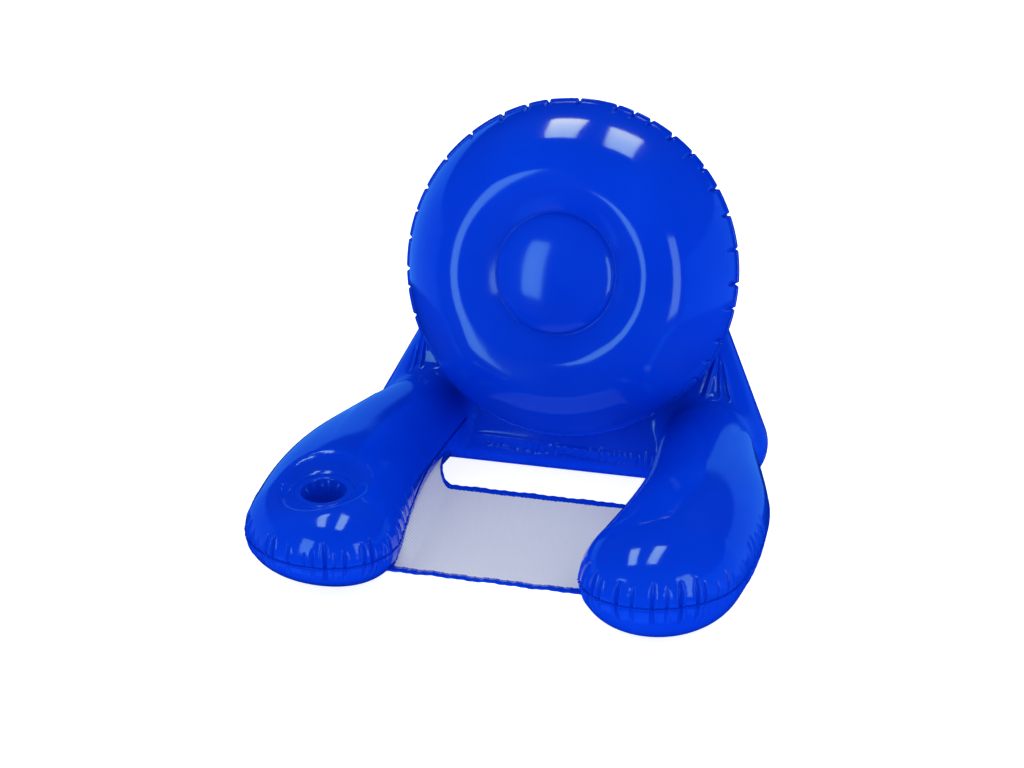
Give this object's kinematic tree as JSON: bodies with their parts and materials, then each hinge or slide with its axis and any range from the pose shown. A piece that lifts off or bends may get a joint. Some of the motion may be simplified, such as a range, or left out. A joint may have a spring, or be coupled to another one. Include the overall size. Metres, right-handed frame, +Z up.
{
  "type": "inflatable pool float",
  "caption": "Inflatable pool lounge chair with two rounded arms, a puckered round backrest on a back support, a mesh sling seat and a cup holder.",
  "frame": {"origin": "middle of the bounding box, on the floor the float stands on", "axes": "+Z up; -Y is the front, where the arms point and the sitter's legs go; +X is the right-hand side as seen from the front"},
  "size_m": [0.9278, 0.9139, 0.7249],
  "materials": {
    "blue_vinyl": "glossy welded PVC film, royal blue",
    "inner_vinyl": "plain PVC film inside the backrest",
    "seat_mesh": "pale woven polyester mesh",
    "valve_vinyl": "soft moulded PVC, satin"
  },
  "bodies": {
    "root": {"arm_left_top_sheet": "blue_vinyl", "arm_left_bottom_sheet": "blue_vinyl", "arm_right_top_sheet": "blue_vinyl", "arm_right_bottom_sheet": "blue_vinyl", "back_support_front_sheet": "blue_vinyl", "back_support_rear_sheet": "blue_vinyl", "cup_holder_sleeve": "blue_vinyl", "cup_holder_base": "blue_vinyl", "backrest_front_sheet": "blue_vinyl", "backrest_rear_sheet": "blue_vinyl", "backrest_inner_baffle": "inner_vinyl", "seat_mesh": "seat_mesh", "seat_front_binding": "blue_vinyl", "seat_rear_binding": "blue_vinyl", "seat_left_weld_strip": "blue_vinyl", "seat_right_weld_strip": "blue_vinyl", "backrest_valve_flange": "valve_vinyl", "back_support_valve_flange": "valve_vinyl"},
    "backrest_valve_neck": {"backrest_valve_neck": "valve_vinyl"},
    "backrest_valve_plug": {"backrest_valve_plug": "valve_vinyl"},
    "backrest_valve_check_flap": {"backrest_valve_check_flap": "valve_vinyl"},
    "back_support_valve_neck": {"back_support_valve_neck": "valve_vinyl"},
    "back_support_valve_plug": {"back_support_valve_plug": "valve_vinyl"},
    "back_support_valve_check_flap": {"back_support_valve_check_flap": "valve_vinyl"}
  },
  "joints": [
    {"name": "backrest_valve_press", "type": "slide", "parent": "root", "child": "backrest_valve_neck", "axis": [0, 0.9659, -0.2588], "range_m": [0, 0.0068]},
    {"name": "backrest_valve_plug_hinge", "type": "hinge", "parent": "backrest_valve_neck", "child": "backrest_valve_plug", "pos_m": [0, 0.42538, 0.57283], "axis": [1, 0, 0], "range_deg": [0, 120]},
    {"name": "backrest_valve_flap_hinge", "type": "hinge", "parent": "backrest_valve_neck", "child": "backrest_valve_check_flap", "pos_m": [0, 0.40944, 0.57245], "axis": [-1, 0, 0], "range_deg": [0, 35], "stiffness_Nm_per_rad": 0.0002, "springref_deg": -20.05},
    {"name": "back_support_valve_press", "type": "slide", "parent": "root", "child": "back_support_valve_neck", "axis": [0, 0.9336, -0.3584], "range_m": [0, 0.0068]},
    {"name": "back_support_valve_plug_hinge", "type": "hinge", "parent": "back_support_valve_neck", "child": "back_support_valve_plug", "pos_m": [0, 0.42427, 0.17109], "axis": [1, 0, 0], "range_deg": [0, 120]},
    {"name": "back_support_valve_flap_hinge", "type": "hinge", "parent": "back_support_valve_neck", "child": "back_support_valve_check_flap", "pos_m": [0, 0.40838, 0.17237], "axis": [-1, 0, 0], "range_deg": [0, 35], "stiffness_Nm_per_rad": 0.0002, "springref_deg": -20.05}
  ]
}
